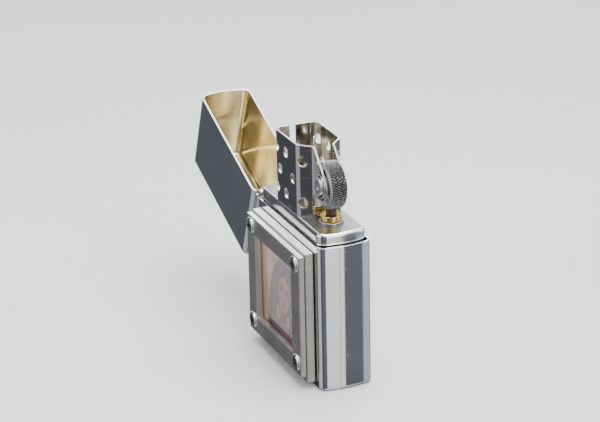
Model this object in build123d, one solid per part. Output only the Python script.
from build123d import *
import os
from math import atan, degrees, sqrt

os.makedirs("parts", exist_ok=True)

# Flip-top windproof pocket lighter with a bolted-on picture frame. Millimetres.
# Origin: centre of the case's foot. +Z up, +X towards the wheel, -X the hinge, -Y the picture.

# ---- case and lid ----
HALF_W = 19.35          # half width, at the middle of the bowed ends
HALF_D = 6.55           # half of the 13.1 mm depth
END_BOW = 0.85          # how far the two narrow ends bow outwards
CORNER_R = 1.9          # upright corners
WALL = 0.45             # drawn sheet
CASE_H = 35.5
PARTING_GAP = 0.2       # between the two rims when the lid is shut
LID_H = 21.5
FOOT_R = 0.8            # rolled edge under the case
CROWN_R = 1.2           # rolled edge round the lid's top
INNER_ROLL_R = 0.3

# ---- hinge ----
HINGE_X = -19.6
HINGE_Z = CASE_H + PARTING_GAP / 2
LID_OPEN_DEG = 158.0
BARREL_R = 1.0
PIN_R = 0.45
PIN_RUNNING_GAP = 0.04
KNUCKLE_ENDS = (-5.4, -3.3, -1.1, 1.1, 3.3, 5.4)
KNUCKLE_GAP = 0.06      # end play on each side of a moving knuckle
HINGE_NOTCH_CLEARANCE = 0.25
LEAF_T = 0.3
LEAF_HALF = 4.6
LEAF_REACH = 8.0
LEAF_STEP = 0.75        # from the parting plane to the leaf's near edge
TAB_T = 0.4

# ---- picture frame on the front wall ----
PLATE_HALF_W = 15.75
BACK_PLATE_Z = (1.65, 33.55)
FRONT_PLATE_Z = (3.25, 32.95)
PAD_T = 0.25
BACK_PLATE_T = 2.0
GASKET_T = 0.2
FRONT_PLATE_T = 1.3
GASKET_INSET = 0.5
PLATE_EDGE = 0.2        # broken edges
OPENING_HALF_W = 10.5
OPENING_Z = (7.9, 28.3)
OPENING_BEVEL = 0.5
POCKET_LAP = 1.0        # the picture runs this far behind the front plate
PICTURE_PLAY = 0.1
PRINT_T = 0.2
WINDOW_T = 0.8
SCREW_X = 13.2
SCREW_Z = (6.2, 30.6)
SCREW_HEAD_R = 2.0
SCREW_HEAD_H = 0.95
SCREW_DOME_R = 0.57
SCREW_SEAT = 0.45       # depth of the counterbore under each head
SCREW_SHANK_R = 0.9
SCREW_HOLE_R = 1.05
CROSS_ARM = 1.24        # half length of the cross recess
CROSS_HALF_T = 0.25
CROSS_DEPTH = 0.62

PAD_Y = (-HALF_D - PAD_T, -HALF_D)
BACK_PLATE_Y = (PAD_Y[0] - BACK_PLATE_T, PAD_Y[0])
GASKET_Y = (BACK_PLATE_Y[0] - GASKET_T, BACK_PLATE_Y[0])
FRONT_PLATE_Y = (GASKET_Y[0] - FRONT_PLATE_T, GASKET_Y[0])
WINDOW_Y = (FRONT_PLATE_Y[1], FRONT_PLATE_Y[1] + WINDOW_T)
PRINT_Y = (WINDOW_Y[1], WINDOW_Y[1] + PRINT_T)
POCKET_HALF_W = OPENING_HALF_W + POCKET_LAP
POCKET_Z = (OPENING_Z[0] - POCKET_LAP, OPENING_Z[1] + POCKET_LAP)

# ---- insert ----
INSERT_HALF_W = 18.2
INSERT_HALF_D = 5.9
INSERT_CORNER_R = 2.2
INSERT_WALL = 0.4
INSERT_FOOT_Z = 0.85
DECK_Z = 38.3           # upper face of the deck
DECK_T = 0.5
DECK_EDGE_R = 0.8
FILL_PLAY = 0.15        # packing and felt clear of the tank walls

# ---- chimney ----
CHIMNEY_TOP_Z = 55.6
CHIMNEY_HALF_D = 5.55
SHEET = 0.45
CHIMNEY_FAR_X = -9.2
CHIMNEY_BEND_X = 4.4    # where each side wall bends inwards
EAR_X = 7.4             # where each side folds parallel again, as an ear
EAR_HALF_Y = 2.6        # outer face of an ear
EAR_R = 3.4             # round end of an ear, about the wheel's axis
EAR_SHOULDER = (0.84, 0.54)      # direction from the axis to the foot of the slanted edge
EAR_SEAM_X = EAR_X - 0.3         # the walls end and the ears begin here
FAR_CORNER_R = 2.0
BEND_R = 2.0
FOLD_R = 0.8
CAM_SLOT_HALF = 0.8
FLANGE_X = -13.9
FLANGE_TOP_Z = 43.8
FLANGE_R = 1.6
SILL_TOP_Z = 40.9       # low sill that joins the two sides beneath the wheel
SILL_TAB = 0.85         # tab folded out of the sill towards the flint tube
VENT_R = 1.2
VENT_ROWS_Z = (51.7, 46.7, 41.7)
VENT_OUTER_X = (-7.4, -1.9)
VENT_MIDDLE_X = (-5.4, 2.0)
VENT_PANEL_X = 5.4      # vents on the slanting panels, close to the bend

# ---- wheel, flint and wick ----
WHEEL_X = 10.9
WHEEL_Z = 47.3
WHEEL_R = 5.5
WHEEL_BAND_HALF = 1.75
WHEEL_HALF = 2.05
WHEEL_FLANK_R = 4.4
WHEEL_HUB_R = 3.0
WHEEL_HUB_DISH = 0.25
RIVET_R = 1.25
RIVET_HEAD_R = 1.9
RIVET_HEAD_T = 0.5
RIVET_DOME_R = 0.3
RIVET_DIMPLE_D = 0.3
RIVET_DIMPLE_R = 0.9
EMBOSS_R = 2.7          # raised ring of the ear around each rivet head
EMBOSS_T = 0.15
RUNNING_GAP = 0.05
TUBE_R = 2.2
TUBE_BORE_R = 1.35
TUBE_LIP_R = 2.45
TUBE_TOP_Z = 40.2
TUBE_FOOT_Z = 2.3
TUBE_FUNNEL_R = 1.85
BOSS_R = 2.9
BOSS_H = 0.6
FLINT_R = 1.2
FLINT_FOOT_Z = 36.8
PLUNGER_FOOT_Z = 34.0
PLUNGER_CAP_T = 1.3
PLUNGER_STEM_R = 0.55
PLUNGER_CHAMFER = 0.3
SPRING_COIL_R = 0.95
SPRING_WIRE_R = 0.18
SPRING_TURNS = 16
FLINT_SCREW_HEAD_R = 3.0
FLINT_SCREW_HEAD_Z = (1.0, TUBE_FOOT_Z)
FLINT_SCREW_TIP_Z = 7.0
COIN_SLOT_W = 0.8
COIN_SLOT_D = 0.6
FLINT_SCREW_CHAMFER = 0.25
WICK_X = -1.4
WICK_R = 1.35
WICK_Z = (7.0, 48.4)
WICK_TOP_R = 0.54
FELT_Z = (1.7, 4.7)
PACKING_Z = (4.9, 37.6)

# ---- cam ----
CAM_X = -12.0
CAM_Y = -0.8            # the slot and the cam sit a little to the picture side
CAM_Z = 41.9
CAM_HALF_T = 0.7
CAM_HUB_R = 1.9
CAM_NOSE = (-16.5, 43.5, 0.9)    # x, z, radius
CAM_HEEL = (-14.9, 40.7, 0.8)
CAM_PIN_R = 0.8
CAM_PIN_HEAD_R = 1.25
CAM_PIN_HEAD_T = 0.35
LEAF_SPRING_T = 0.22
LEAF_SPRING_HALF_W = 0.65
LEAF_SPRING_FOOT_X = (-16.85, -10.9)
LEAF_SPRING_BEND_R = 0.35

TOLERANCE = 0.01        # for picking edges and corners by their place


def block(x, y, z):
    """A box from its low and high value along each axis."""
    centre = [(low + high) / 2 for low, high in (x, y, z)]
    return Pos(*centre) * Box(x[1] - x[0], y[1] - y[0], z[1] - z[0])


def rod_z(x, y, radius, z):
    """A round bar along Z."""
    return Pos(x, y, z[0]) * extrude(Circle(radius), z[1] - z[0])


def rod_y(x, z, radius, y):
    """A round bar along Y."""
    return Pos(x, (y[0] + y[1]) / 2, z) * Rot(90, 0, 0) * Cylinder(radius, y[1] - y[0])


def plan(half_x, half_y, corner_r):
    """The lighter's outline from above: flat long sides, bowed short ends, rounded corners."""
    end_x = half_x - END_BOW
    with BuildSketch() as sketch:
        with BuildLine():
            Line((-end_x, half_y), (end_x, half_y))
            ThreePointArc((end_x, half_y), (half_x, 0), (end_x, -half_y))
            Line((end_x, -half_y), (-end_x, -half_y))
            ThreePointArc((-end_x, -half_y), (-half_x, 0), (-end_x, half_y))
        make_face()
        fillet(sketch.vertices(), corner_r)
    return sketch.sketch


def prism(half_x, half_y, corner_r, z):
    """An upright solid of that outline."""
    return Pos(0, 0, z[0]) * extrude(plan(half_x, half_y, corner_r), z[1] - z[0])


def side_profile(face, half_y):
    """A face drawn in X and Z, given a thickness across Y."""
    return extrude(Plane.XZ * face, half_y, both=True)


def opened(shape):
    """A lid piece, turned from shut to its rest position against the stop."""
    return shape.rotate(Axis((HINGE_X, 0, HINGE_Z), (0, -1, 0)), LID_OPEN_DEG)


# ---- case and lid ----
def make_case():
    shell = prism(HALF_W, HALF_D, CORNER_R, (0, CASE_H))
    shell = fillet(shell.edges().group_by(Axis.Z)[0], FOOT_R)
    cavity = prism(HALF_W - WALL, HALF_D - WALL, CORNER_R - WALL, (WALL, CASE_H + WALL))
    cavity = fillet(cavity.edges().group_by(Axis.Z)[0], INNER_ROLL_R)
    return shell - cavity - hinge_notch()


def make_lid():
    foot = CASE_H + PARTING_GAP
    shell = prism(HALF_W, HALF_D, CORNER_R, (foot, foot + LID_H))
    shell = fillet(shell.edges().group_by(Axis.Z)[-1], CROWN_R)
    cavity = prism(HALF_W - WALL, HALF_D - WALL, CORNER_R - WALL, (CASE_H, foot + LID_H - WALL))
    cavity = fillet(cavity.edges().group_by(Axis.Z)[-1], CROWN_R - WALL)
    return opened(shell - cavity - hinge_notch())


def hinge_notch():
    """Room for the barrel in both rims."""
    reach = BARREL_R + HINGE_NOTCH_CLEARANCE
    half = KNUCKLE_ENDS[-1] + HINGE_NOTCH_CLEARANCE
    inner_x = -HALF_W + WALL + END_BOW
    return block((HINGE_X - reach, inner_x), (-half, half), (HINGE_Z - reach, HINGE_Z + reach))


def make_leaf(side, knuckles, bore_r, end_play):
    """A hinge leaf inside the wall: side is -1 below the parting plane and +1 above it."""
    hollow = prism(HALF_W - WALL - LEAF_T, HALF_D - WALL - LEAF_T, CORNER_R - WALL - LEAF_T, (0, 2 * CASE_H))
    skin = prism(HALF_W - WALL, HALF_D - WALL, CORNER_R - WALL, (0, 2 * CASE_H)) - hollow
    z = sorted((HINGE_Z + side * LEAF_STEP, HINGE_Z + side * (LEAF_STEP + LEAF_REACH)))
    leaf = skin & block((-HALF_W, -HALF_W / 2), (-LEAF_HALF, LEAF_HALF), z)
    tab_z = sorted((HINGE_Z + side * LEAF_STEP, HINGE_Z + side * (LEAF_STEP + TAB_T)))
    for low, high in knuckles:
        y = (low + end_play, high - end_play)
        tab_y = (max(y[0], -LEAF_HALF), min(y[1], LEAF_HALF))
        leaf += rod_y(HINGE_X, HINGE_Z, BARREL_R, y)
        leaf += block((HINGE_X, -HALF_W + WALL + LEAF_T + END_BOW), tab_y, tab_z) - hollow
        leaf -= rod_y(HINGE_X, HINGE_Z, bore_r, y)
    return leaf


def make_hinge():
    spans = list(zip(KNUCKLE_ENDS, KNUCKLE_ENDS[1:]))
    lower = make_leaf(-1, spans[0::2], PIN_R, 0.0)
    upper = make_leaf(1, spans[1::2], PIN_R + PIN_RUNNING_GAP, KNUCKLE_GAP)
    pin = rod_y(HINGE_X, HINGE_Z, PIN_R, (KNUCKLE_ENDS[0], KNUCKLE_ENDS[-1]))
    return lower, opened(upper), pin


# ---- picture frame ----
def make_back_plate():
    plate = block((-PLATE_HALF_W, PLATE_HALF_W), BACK_PLATE_Y, BACK_PLATE_Z)
    plate = chamfer(plate.edges().group_by(Axis.Y)[0], PLATE_EDGE)
    plate -= block((-POCKET_HALF_W, POCKET_HALF_W), (BACK_PLATE_Y[0], PRINT_Y[1]), POCKET_Z)
    for x, z in screw_places():
        plate -= rod_y(x, z, SCREW_SHANK_R, BACK_PLATE_Y)
    return plate


def make_gasket():
    half = PLATE_HALF_W - GASKET_INSET
    z = (FRONT_PLATE_Z[0] + GASKET_INSET, FRONT_PLATE_Z[1] - GASKET_INSET)
    ring = block((-half, half), GASKET_Y, z)
    ring -= block((-POCKET_HALF_W, POCKET_HALF_W), GASKET_Y, POCKET_Z)
    for x, z in screw_places():
        ring -= rod_y(x, z, SCREW_HOLE_R, GASKET_Y)
    return ring


def make_front_plate():
    plate = block((-PLATE_HALF_W, PLATE_HALF_W), FRONT_PLATE_Y, FRONT_PLATE_Z)
    plate = chamfer(plate.edges().group_by(Axis.Y)[0], PLATE_EDGE)
    plate -= block((-OPENING_HALF_W, OPENING_HALF_W), FRONT_PLATE_Y, OPENING_Z)
    front_y = FRONT_PLATE_Y[0]
    rim = [
        edge
        for edge in plate.edges().filter_by_position(Axis.Y, front_y - TOLERANCE, front_y + TOLERANCE)
        if abs(edge.center().X) <= OPENING_HALF_W + TOLERANCE
        and OPENING_Z[0] - TOLERANCE <= edge.center().Z <= OPENING_Z[1] + TOLERANCE
    ]
    plate = chamfer(rim, OPENING_BEVEL)
    for x, z in screw_places():
        plate -= rod_y(x, z, SCREW_HOLE_R, FRONT_PLATE_Y)
        seat_r = SCREW_HEAD_R + 2 * RUNNING_GAP
        plate -= rod_y(x, z, seat_r, (FRONT_PLATE_Y[0], FRONT_PLATE_Y[0] + SCREW_SEAT))
    return plate


def screw_places():
    return [(x, z) for x in (-SCREW_X, SCREW_X) for z in SCREW_Z]


def make_screw(x, z):
    """Pan head with a cross recess, facing -Y."""
    seat_y = FRONT_PLATE_Y[0] + SCREW_SEAT
    head = rod_y(x, z, SCREW_HEAD_R, (seat_y - SCREW_HEAD_H, seat_y))
    head = fillet(head.edges().group_by(Axis.Y)[0], SCREW_DOME_R)
    recess_y = (seat_y - SCREW_HEAD_H, seat_y - SCREW_HEAD_H + CROSS_DEPTH)
    head -= block((x - CROSS_ARM, x + CROSS_ARM), recess_y, (z - CROSS_HALF_T, z + CROSS_HALF_T))
    head -= block((x - CROSS_HALF_T, x + CROSS_HALF_T), recess_y, (z - CROSS_ARM, z + CROSS_ARM))
    return head + rod_y(x, z, SCREW_SHANK_R, (seat_y, BACK_PLATE_Y[1] - PLATE_EDGE))


# ---- insert ----
def make_tank():
    tank = prism(INSERT_HALF_W, INSERT_HALF_D, INSERT_CORNER_R, (INSERT_FOOT_Z, DECK_Z))
    tank = fillet(tank.edges().group_by(Axis.Z)[-1], DECK_EDGE_R)
    tank -= prism(
        INSERT_HALF_W - INSERT_WALL,
        INSERT_HALF_D - INSERT_WALL,
        INSERT_CORNER_R - INSERT_WALL,
        (INSERT_FOOT_Z, DECK_Z - DECK_T),
    )
    boss = rod_z(WHEEL_X, 0, BOSS_R, (DECK_Z - DECK_T, DECK_Z + BOSS_H))
    boss = fillet(boss.edges().group_by(Axis.Z)[-1], BOSS_H / 2)
    tank += boss
    tank -= rod_z(WHEEL_X, 0, TUBE_R, (DECK_Z - DECK_T, DECK_Z + BOSS_H))
    return tank - rod_z(WICK_X, 0, WICK_R, (DECK_Z - DECK_T, DECK_Z))


def chimney_outline(inset, ear_end):
    """Plan of the folded sheet's outer face, or of its inner face one sheet thickness in."""
    far, side = CHIMNEY_FAR_X + inset, CHIMNEY_HALF_D - inset
    bend, fold, ear = CHIMNEY_BEND_X - inset / 3, EAR_X - inset / 3, EAR_HALF_Y - inset
    with BuildSketch() as sketch:
        with BuildLine():
            Polyline(
                (ear_end, -ear), (fold, -ear), (bend, -side), (far, -side),
                (far, side), (bend, side), (fold, ear), (ear_end, ear), close=True,
            )
        make_face()
        corners = sketch.vertices()
        fillet([v for v in corners if v.X < far + TOLERANCE], FAR_CORNER_R - inset)
        fillet([v for v in sketch.vertices() if abs(v.X - bend) < TOLERANCE], BEND_R)
        fillet([v for v in sketch.vertices() if abs(v.X - fold) < TOLERANCE], FOLD_R)
    return sketch.sketch


def ear_side():
    """The ears from the side: a slanting upper edge down to a round end about the wheel's axis."""
    with BuildSketch() as sketch:
        with Locations((WHEEL_X, WHEEL_Z)):
            Circle(EAR_R)
        with BuildLine():
            Polyline(
                (EAR_X - 1, WHEEL_Z - EAR_R),
                (WHEEL_X, WHEEL_Z - EAR_R),
                (WHEEL_X + EAR_SHOULDER[0] * EAR_R, WHEEL_Z + EAR_SHOULDER[1] * EAR_R),
                (EAR_X, CHIMNEY_TOP_Z),
                (EAR_X - 1, CHIMNEY_TOP_Z),
                close=True,
            )
        make_face()
    return sketch.sketch


def make_chimney():
    height = CHIMNEY_TOP_Z - DECK_Z
    beyond = WHEEL_X + 2 * EAR_R
    sheet = extrude(chimney_outline(0, beyond), height) - extrude(chimney_outline(SHEET, beyond + 1), height)
    sheet = Pos(0, 0, DECK_Z) * sheet
    walls = sheet & block((-HALF_W, EAR_SEAM_X), (-HALF_D, HALF_D), (DECK_Z, CHIMNEY_TOP_Z))
    ears = sheet & side_profile(ear_side(), HALF_D)
    ears &= block((EAR_SEAM_X, beyond), (-HALF_D, HALF_D), (DECK_Z, CHIMNEY_TOP_Z))
    chimney = walls + ears
    slot_y = (CAM_Y - CAM_SLOT_HALF, CAM_Y + CAM_SLOT_HALF)
    chimney -= block((CHIMNEY_FAR_X, 0), slot_y, (DECK_Z, CHIMNEY_TOP_Z))
    chimney += make_cam_flanges()
    sill_half = EAR_HALF_Y - SHEET / 2
    chimney += block((EAR_SEAM_X - SHEET, EAR_SEAM_X), (-sill_half, sill_half), (DECK_Z, SILL_TOP_Z))
    tab_z = (DECK_Z + BOSS_H, DECK_Z + BOSS_H + SHEET)
    tab_x = (EAR_SEAM_X - SHEET, EAR_SEAM_X + SILL_TAB)
    chimney += block(tab_x, (-sill_half + SHEET, sill_half - SHEET), tab_z)
    for side in (-1, 1):
        y = sorted((side * (EAR_HALF_Y - SHEET), side * (EAR_HALF_Y + EMBOSS_T)))
        chimney += rod_y(WHEEL_X, WHEEL_Z, EMBOSS_R, y)
    for x, z in vent_places():
        chimney -= rod_y(x, z, VENT_R, (-HALF_D, HALF_D))
    slope = (EAR_HALF_Y - CHIMNEY_HALF_D) / (EAR_X - CHIMNEY_BEND_X)
    panel_y = CHIMNEY_HALF_D + slope * (VENT_PANEL_X - CHIMNEY_BEND_X)
    panel_turn = degrees(atan(slope))
    for z in VENT_ROWS_Z[0::2]:
        for side in (-1, 1):
            drill = Pos(VENT_PANEL_X, side * panel_y, z) * Rot(0, 0, side * panel_turn) * Rot(90, 0, 0)
            chimney -= drill * Cylinder(VENT_R, 4 * SHEET)
    chimney -= rod_y(WHEEL_X, WHEEL_Z, RIVET_R, (-HALF_D, HALF_D))
    return chimney - rod_y(CAM_X, CAM_Z, CAM_PIN_R, (-HALF_D, HALF_D))


def make_cam_flanges():
    """Two small cheeks folded outwards beside the slot, which carry the cam."""
    with BuildSketch() as sketch:
        with BuildLine():
            Polyline(
                (CHIMNEY_FAR_X + SHEET, DECK_Z), (FLANGE_X, DECK_Z), (FLANGE_X, FLANGE_TOP_Z),
                (CHIMNEY_FAR_X + SHEET, FLANGE_TOP_Z), close=True,
            )
        make_face()
        outer = [v for v in sketch.vertices() if v.X < FLANGE_X + TOLERANCE]
        fillet([v for v in outer if v.Y > DECK_Z + TOLERANCE], FLANGE_R)
    cheeks = side_profile(sketch.sketch, CAM_SLOT_HALF + SHEET)
    return Pos(0, CAM_Y, 0) * (cheeks - side_profile(sketch.sketch, CAM_SLOT_HALF))


def vent_places():
    """Vents straight through both side walls: the outer rows and the staggered middle row."""
    rows = (VENT_OUTER_X, VENT_MIDDLE_X, VENT_OUTER_X)
    return [(x, z) for z, row in zip(VENT_ROWS_Z, rows) for x in row]


def make_packing():
    fill = prism(
        INSERT_HALF_W - INSERT_WALL - FILL_PLAY,
        INSERT_HALF_D - INSERT_WALL - FILL_PLAY,
        INSERT_CORNER_R - INSERT_WALL,
        PACKING_Z,
    )
    fill -= rod_z(WHEEL_X, 0, TUBE_R + FILL_PLAY, PACKING_Z)
    return fill - rod_z(WICK_X, 0, WICK_R + FILL_PLAY, (WICK_Z[0] - FILL_PLAY, PACKING_Z[1]))


def make_felt():
    pad = prism(
        INSERT_HALF_W - INSERT_WALL - FILL_PLAY,
        INSERT_HALF_D - INSERT_WALL - FILL_PLAY,
        INSERT_CORNER_R - INSERT_WALL,
        FELT_Z,
    )
    return pad - rod_z(WHEEL_X, 0, FLINT_SCREW_HEAD_R + FILL_PLAY, FELT_Z)


def make_wick():
    wick = rod_z(WICK_X, 0, WICK_R, WICK_Z)
    return fillet(wick.edges().group_by(Axis.Z)[-1], WICK_TOP_R)


# ---- flint train ----
def make_flint_tube():
    lip_z = (DECK_Z + BOSS_H, TUBE_TOP_Z)
    tube = rod_z(WHEEL_X, 0, TUBE_R, (TUBE_FOOT_Z, TUBE_TOP_Z)) + rod_z(WHEEL_X, 0, TUBE_LIP_R, lip_z)
    tube -= rod_z(WHEEL_X, 0, TUBE_BORE_R, (TUBE_FOOT_Z, TUBE_TOP_Z))
    funnel_h = TUBE_FUNNEL_R - TUBE_BORE_R
    funnel = Pos(WHEEL_X, 0, TUBE_TOP_Z - funnel_h / 2) * Cone(TUBE_BORE_R, TUBE_FUNNEL_R, funnel_h)
    return tube - funnel


def make_flint():
    """A rod whose upper end is worn to the wheel's curve."""
    flint = rod_z(WHEEL_X, 0, FLINT_R, (FLINT_FOOT_Z, WHEEL_Z))
    return flint - rod_y(WHEEL_X, WHEEL_Z, WHEEL_R + RUNNING_GAP, (-HALF_D, HALF_D))


def make_plunger():
    cap = rod_z(WHEEL_X, 0, FLINT_R, (FLINT_FOOT_Z - PLUNGER_CAP_T, FLINT_FOOT_Z))
    cap = chamfer(cap.edges().group_by(Axis.Z)[0], PLUNGER_CHAMFER)
    return cap + rod_z(WHEEL_X, 0, PLUNGER_STEM_R, (PLUNGER_FOOT_Z, FLINT_FOOT_Z - PLUNGER_CAP_T))


def make_flint_spring():
    low = FLINT_SCREW_TIP_Z + SPRING_WIRE_R
    high = FLINT_FOOT_Z - PLUNGER_CAP_T - SPRING_WIRE_R
    coil = Helix((high - low) / SPRING_TURNS, high - low, SPRING_COIL_R)
    wire = Plane(origin=coil @ 0, z_dir=coil % 0) * Circle(SPRING_WIRE_R)
    return Pos(WHEEL_X, 0, low) * sweep(wire, path=coil, is_frenet=True)


def make_flint_screw():
    head = rod_z(WHEEL_X, 0, FLINT_SCREW_HEAD_R, FLINT_SCREW_HEAD_Z)
    head = chamfer(head.edges().group_by(Axis.Z)[0], FLINT_SCREW_CHAMFER)
    slot_z = (FLINT_SCREW_HEAD_Z[0], FLINT_SCREW_HEAD_Z[0] + COIN_SLOT_D)
    half = COIN_SLOT_W / 2
    head -= block((WHEEL_X - 2 * FLINT_SCREW_HEAD_R, WHEEL_X + 2 * FLINT_SCREW_HEAD_R), (-half, half), slot_z)
    return head + rod_z(WHEEL_X, 0, TUBE_BORE_R, (TUBE_FOOT_Z, FLINT_SCREW_TIP_Z))


def make_wheel():
    """Flint wheel: a band between two bevelled flanks, with a shallow dish around the hub."""
    half_profile = [
        (RIVET_R + RUNNING_GAP, WHEEL_HALF), (WHEEL_HUB_R, WHEEL_HALF),
        (WHEEL_HUB_R + WHEEL_HUB_DISH, WHEEL_HALF - WHEEL_HUB_DISH),
        (WHEEL_FLANK_R - WHEEL_HUB_DISH, WHEEL_HALF - WHEEL_HUB_DISH),
        (WHEEL_FLANK_R, WHEEL_HALF), (WHEEL_R, WHEEL_BAND_HALF),
    ]
    mirrored = [(r, -y) for r, y in reversed(half_profile)]
    with BuildSketch() as sketch:
        with BuildLine():
            Polyline(*half_profile, *mirrored, close=True)
        make_face()
    return Pos(WHEEL_X, 0, WHEEL_Z) * revolve(sketch.sketch, Axis.Y)


def make_wheel_rivet():
    seat = EAR_HALF_Y + EMBOSS_T
    reach = seat + RIVET_HEAD_T
    rivet = rod_y(WHEEL_X, WHEEL_Z, RIVET_R, (-seat, seat))
    for side in (-1, 1):
        y = sorted((side * seat, side * reach))
        head = rod_y(WHEEL_X, WHEEL_Z, RIVET_HEAD_R, y)
        rim = head.edges().group_by(Axis.Y)[0 if side < 0 else -1]
        head = fillet(rim, RIVET_DOME_R)
        dimple_y = sorted((side * (reach - RIVET_DIMPLE_D), side * reach))
        rivet += head - rod_y(WHEEL_X, WHEEL_Z, RIVET_DIMPLE_R, dimple_y)
    return rivet


# ---- cam ----
def lobe(*places):
    """The tight outline around circles given as x, z and radius."""
    edges = [(Pos(x, z) * Circle(radius)).edge() for x, z, radius in places]
    return make_hull(edges)


def make_cam():
    hub = (CAM_X, CAM_Z, CAM_HUB_R)
    cam = side_profile(lobe(hub, CAM_NOSE), CAM_HALF_T) + side_profile(lobe(hub, CAM_HEEL), CAM_HALF_T)
    return Pos(0, CAM_Y, 0) * cam - rod_y(CAM_X, CAM_Z, CAM_PIN_R + RUNNING_GAP, (-HALF_D, HALF_D))


def make_cam_rivet():
    outer = CAM_SLOT_HALF + SHEET
    pin = rod_y(CAM_X, CAM_Z, CAM_PIN_R, (-outer, outer))
    for side in (-1, 1):
        y = sorted((side * outer, side * (outer + CAM_PIN_HEAD_T)))
        pin += rod_y(CAM_X, CAM_Z, CAM_PIN_HEAD_R, y)
    return Pos(0, CAM_Y, 0) * pin


def make_cam_spring():
    """A leaf folded back over its own foot, its free end under the cam's heel."""
    foot_z = DECK_Z + LEAF_SPRING_T / 2
    tip_z = CAM_HEEL[1] - CAM_HEEL[2] - LEAF_SPRING_T
    with BuildSketch() as sketch:
        with BuildLine() as line:
            FilletPolyline(
                (LEAF_SPRING_FOOT_X[1], foot_z),
                (LEAF_SPRING_FOOT_X[0], foot_z),
                (CAM_HEEL[0], tip_z),
                radius=LEAF_SPRING_BEND_R,
            )
        trace(line.line, LEAF_SPRING_T)
    return Pos(0, CAM_Y, 0) * side_profile(sketch.sketch, LEAF_SPRING_HALF_W)


def plain_plate(half_w, y, z):
    return block((-half_w, half_w), y, z)


lower_leaf, upper_leaf, hinge_pin = make_hinge()
picture_half_w = POCKET_HALF_W - PICTURE_PLAY
picture_z = (POCKET_Z[0] + PICTURE_PLAY, POCKET_Z[1] - PICTURE_PLAY)
pad_half_w = PLATE_HALF_W - 2 * GASKET_INSET
pad_z = (BACK_PLATE_Z[0] + 2 * GASKET_INSET, BACK_PLATE_Z[1] - 2 * GASKET_INSET)

nodes = {
    "case_bottom": make_case(),
    "hinge_lower_leaf": lower_leaf,
    "hinge_pin": hinge_pin,
    "frame_mounting_pad": plain_plate(pad_half_w, PAD_Y, pad_z),
    "frame_back_plate": make_back_plate(),
    "frame_gasket": make_gasket(),
    "frame_front_plate": make_front_plate(),
    "frame_screws": Compound(children=[make_screw(x, z) for x, z in screw_places()]),
    "picture_print": plain_plate(picture_half_w, PRINT_Y, picture_z),
    "picture_window": plain_plate(picture_half_w, WINDOW_Y, picture_z),
    "lid_shell": make_lid(),
    "hinge_upper_leaf": upper_leaf,
    "insert_tank": make_tank(),
    "chimney": make_chimney(),
    "cotton_packing": make_packing(),
    "felt_pad": make_felt(),
    "wick": make_wick(),
    "flint_tube": make_flint_tube(),
    "flint": make_flint(),
    "flint_plunger": make_plunger(),
    "flint_spring": make_flint_spring(),
    "flint_screw": make_flint_screw(),
    "flint_wheel": make_wheel(),
    "wheel_rivet": make_wheel_rivet(),
    "cam": make_cam(),
    "cam_rivet": make_cam_rivet(),
    "cam_spring": make_cam_spring(),
}

# Furthest point of the wheel from the hinge, which the shutting lid's far rim has to clear.
wheel_reach = sqrt((WHEEL_X - HINGE_X) ** 2 + (WHEEL_Z - HINGE_Z) ** 2) + WHEEL_R
rim_reach = HALF_W - WALL - HINGE_X
print("lid rim clears the wheel by", round(rim_reach - wheel_reach, 2), "mm")

for name, shape in nodes.items():
    export_step(shape, f"parts/{name}.step")
